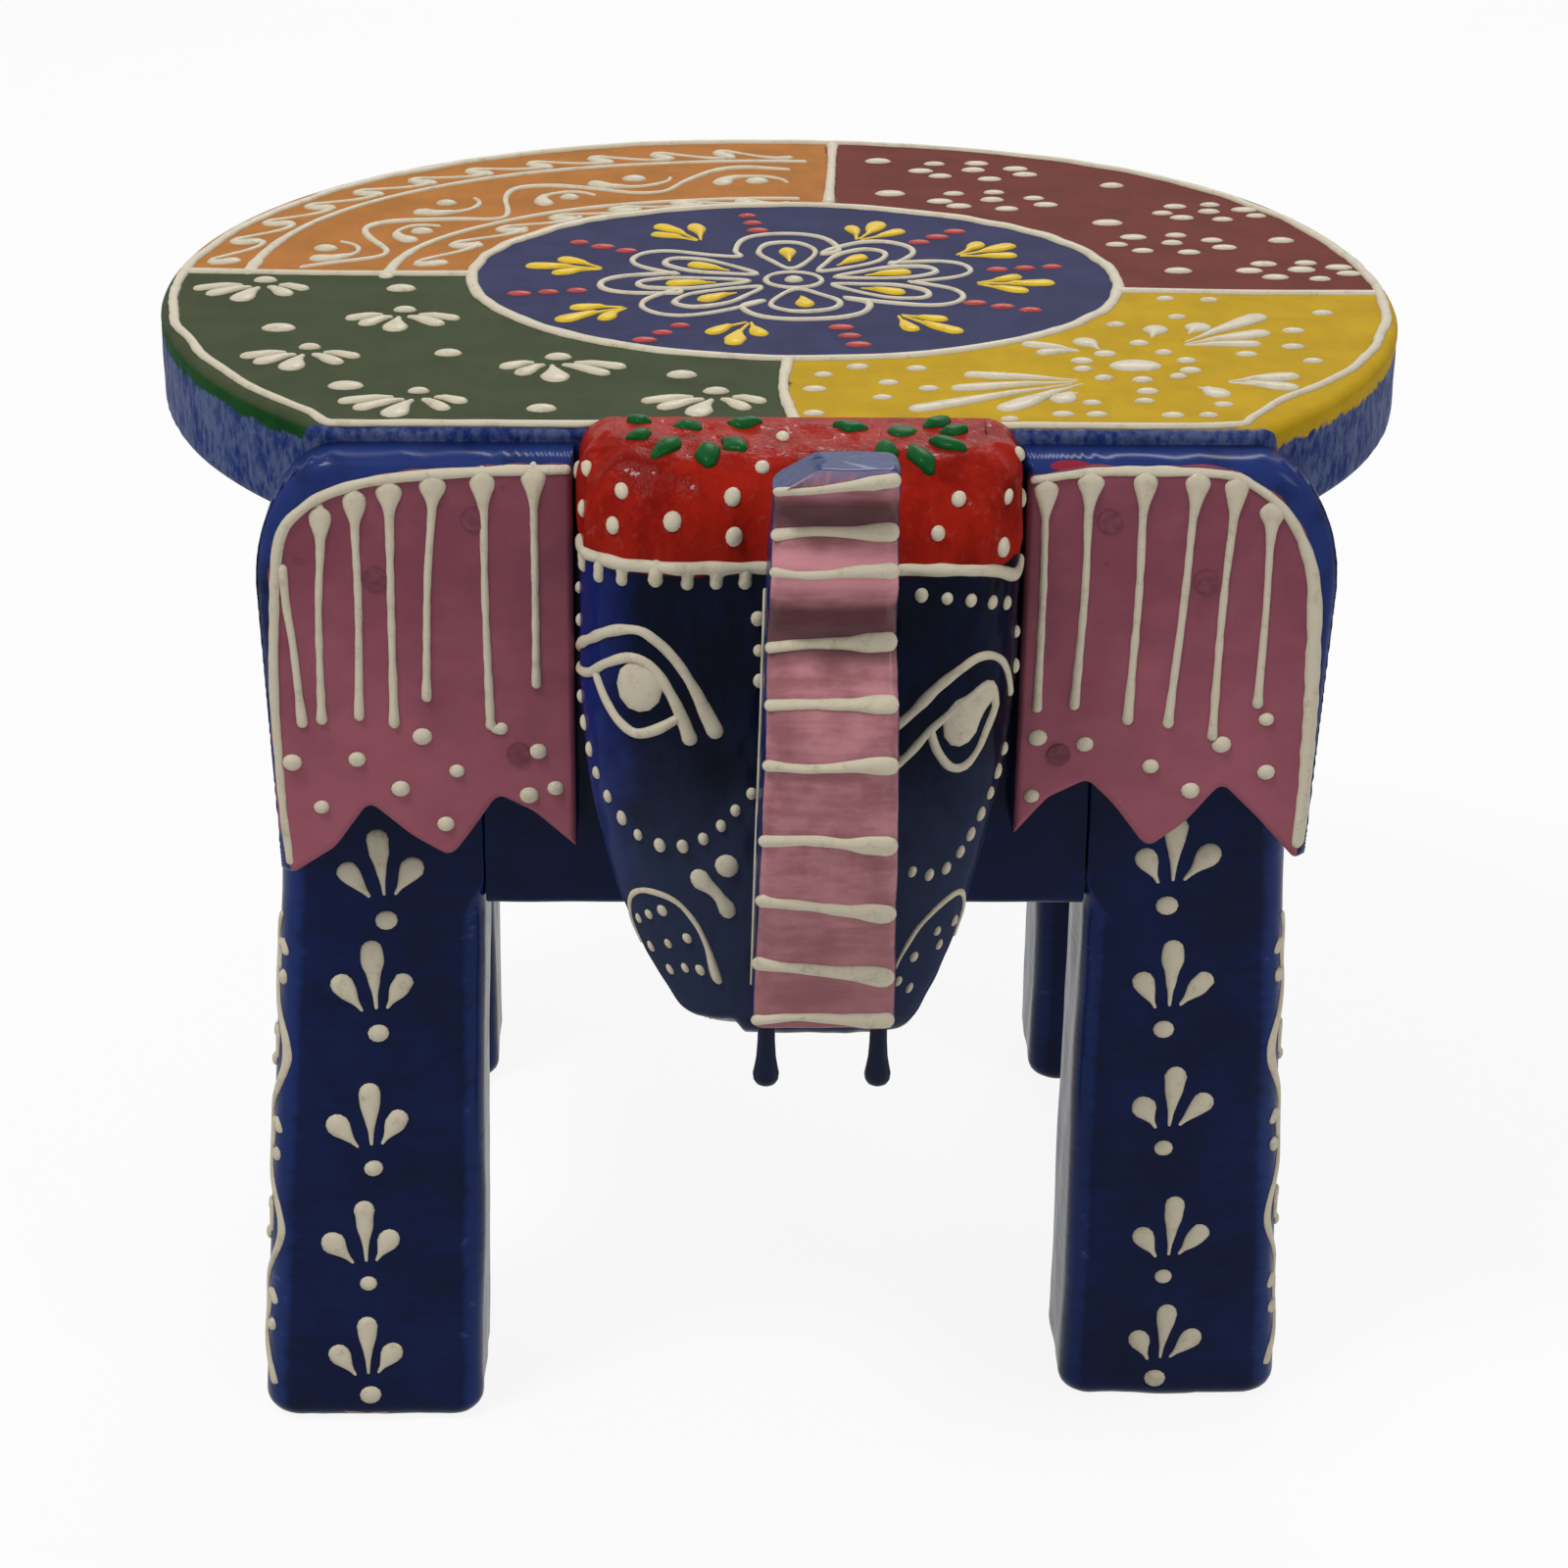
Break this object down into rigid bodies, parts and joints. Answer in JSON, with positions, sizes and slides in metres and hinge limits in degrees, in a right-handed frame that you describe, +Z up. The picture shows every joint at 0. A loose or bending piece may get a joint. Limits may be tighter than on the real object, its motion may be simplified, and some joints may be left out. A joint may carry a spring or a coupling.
{
  "type": "carved elephant stool",
  "caption": "Small round wooden stool with a flat front, carved as an elephant with a raised trunk, board ears, splayed legs and a tail, painted all over with raised dots and lines.",
  "frame": {"origin": "on the floor, under the middle of the stool's box, which reaches from the trunk's tip to the back of the seat", "axes": "+Z up from the floor to the seat, -Y towards the elephant's face, +X to the right as seen from the front"},
  "size_m": [0.152, 0.164, 0.1334],
  "materials": {
    "seat_paint": "hand-painted quarters and centre, varnished",
    "blue_paint": "glossy blue paint over carved wood",
    "pink_paint": "pink paint, blue edges, satin varnish",
    "head_paint": "blue paint under a red cap, glossy varnish",
    "trunk_paint": "pink paint, blue sides, glossy varnish",
    "painted_nail": "steel nail painted dark blue",
    "steel": "plain steel wire nail or screw",
    "bare_wood": "unpainted hardwood dowel",
    "filler": "wood filler under the paint"
  },
  "bodies": {
    "root": {"seat_disc": "seat_paint", "front_left_leg": "blue_paint", "front_right_leg": "blue_paint", "rear_left_leg": "blue_paint", "rear_right_leg": "blue_paint", "front_apron": "blue_paint", "rear_apron": "blue_paint", "left_side_rail": "blue_paint", "right_side_rail": "blue_paint", "frame_dowels": "bare_wood", "seat_nails": "steel", "seat_fillers": "filler", "left_ear": "pink_paint", "right_ear": "pink_paint", "ear_nails": "steel", "head": "head_paint", "head_screws": "steel", "trunk": "trunk_paint", "trunk_dowels": "bare_wood", "left_tusk": "painted_nail", "right_tusk": "painted_nail", "tail": "blue_paint", "tail_nails": "steel"}
  },
  "joints": []
}
